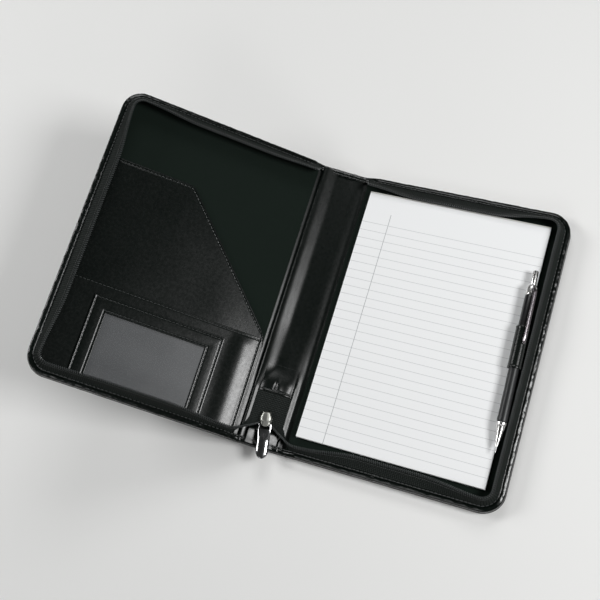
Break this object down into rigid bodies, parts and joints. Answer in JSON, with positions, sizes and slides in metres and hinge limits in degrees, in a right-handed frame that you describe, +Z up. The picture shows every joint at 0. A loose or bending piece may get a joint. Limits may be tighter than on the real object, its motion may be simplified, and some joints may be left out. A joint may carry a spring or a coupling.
{
  "type": "portfolio case",
  "caption": "Zip-round leather-look A5 portfolio case that opens flat like a book, with a ruled writing pad, document and card pockets, and a mechanical pencil in a loop.",
  "frame": {"origin": "centre of the back cover's outer face, which lies on the table", "axes": "+X from the spine to the back cover's zipped edge, +Y to the head of the pad, +Z up out of the open case"},
  "size_m": [0.363, 0.2492, 0.0987],
  "materials": {
    "outer_leather": "glossy black leather-look PU with a fine grain",
    "rim_leather": "glossy black leather-look PU, crinkled and stitched",
    "inner_leather": "satin black leather-look PU",
    "lining_cloth": "matte black lining cloth",
    "zip_tape": "black woven zipper tape",
    "zip_teeth": "black nylon coil",
    "greyboard": "grey board, hidden inside",
    "pad_card": "pad backing card",
    "pad_paper": "white paper edges",
    "ruled_paper": "white writing paper with fine grey ruling",
    "pad_gum": "pale padding gum",
    "clear_vinyl": "hazy clear vinyl",
    "slider_nickel": "worn nickel plate",
    "pull_chrome": "bright plated pull",
    "pencil_chrome": "bright chrome",
    "pencil_steel": "drawn steel",
    "pencil_black": "glossy black plastic",
    "pencil_rubber": "satin black soft-touch grip",
    "eraser": "white eraser"
  },
  "bodies": {
    "back_cover": {"back_outer_skin": "outer_leather", "back_board": "greyboard", "back_lining": "lining_cloth", "back_gusset": "rim_leather", "back_zip_tape": "zip_tape", "back_zip_coil": "zip_teeth", "pad_pocket": "lining_cloth", "pad_backing_card": "pad_card", "pad_sheets": "pad_paper", "pad_top_sheet": "ruled_paper", "pad_glue_strip": "pad_gum", "pen_loop": "inner_leather"},
    "spine": {"spine_outer_skin": "outer_leather", "spine_board": "greyboard", "spine_lining": "inner_leather", "spine_hem_top": "rim_leather", "spine_hem_bottom": "rim_leather", "zip_tail_tape": "zip_tape", "zip_tail_coil": "zip_teeth", "zip_tail_flap": "inner_leather", "zip_branch_back": "zip_tape", "zip_branch_front": "zip_tape"},
    "front_cover": {"front_outer_skin": "outer_leather", "front_board": "greyboard", "front_lining": "lining_cloth", "front_gusset": "rim_leather", "front_zip_tape": "zip_tape", "front_zip_coil": "zip_teeth", "document_pocket": "inner_leather", "card_pocket": "inner_leather", "id_window_frame": "inner_leather", "id_window_film": "clear_vinyl"},
    "zip_slider": {"slider_body": "slider_nickel", "slider_cap": "slider_nickel"},
    "zip_pull": {"pull_tab": "pull_chrome"},
    "pencil": {"pencil_barrel": "pencil_black", "pencil_grip": "pencil_rubber", "pencil_nose_cone": "pencil_chrome", "pencil_lead_sleeve": "pencil_steel", "pencil_collar": "pencil_chrome", "pencil_clip": "pencil_chrome", "pencil_spring": "pencil_steel"},
    "pencil_push": {"pencil_button": "pencil_chrome", "pencil_eraser": "eraser", "pencil_lead_tube": "pencil_black", "pencil_clutch": "pencil_steel"}
  },
  "joints": [
    {"name": "spine_fold", "type": "hinge", "parent": "back_cover", "child": "spine", "pos_m": [-0.086, 0, 0.0006], "axis": [0, 1, 0], "range_deg": [-13, 77]},
    {"name": "front_cover_fold", "type": "hinge", "parent": "spine", "child": "front_cover", "pos_m": [-0.12351, 0, 0.00926], "axis": [0, 1, 0], "range_deg": [-14, 76]},
    {"name": "slider_slide", "type": "slide", "parent": "spine", "child": "zip_slider", "axis": [0, 1, 0], "range_m": [0, 0.008]},
    {"name": "pull_swing", "type": "hinge", "parent": "zip_slider", "child": "zip_pull", "pos_m": [-0.10253, -0.10258, 0.01355], "axis": [-0.9596, -0.1736, 0.2215], "range_deg": [0, 125]},
    {"name": "pencil_slide", "type": "slide", "parent": "back_cover", "child": "pencil", "axis": [-0.0257, 0.9997, 0], "range_m": [0, 0.036]},
    {"name": "pencil_click", "type": "slide", "parent": "pencil", "child": "pencil_push", "axis": [0.0257, -0.9997, 0], "range_m": [0, 0.003], "stiffness_N_per_m": 800}
  ]
}
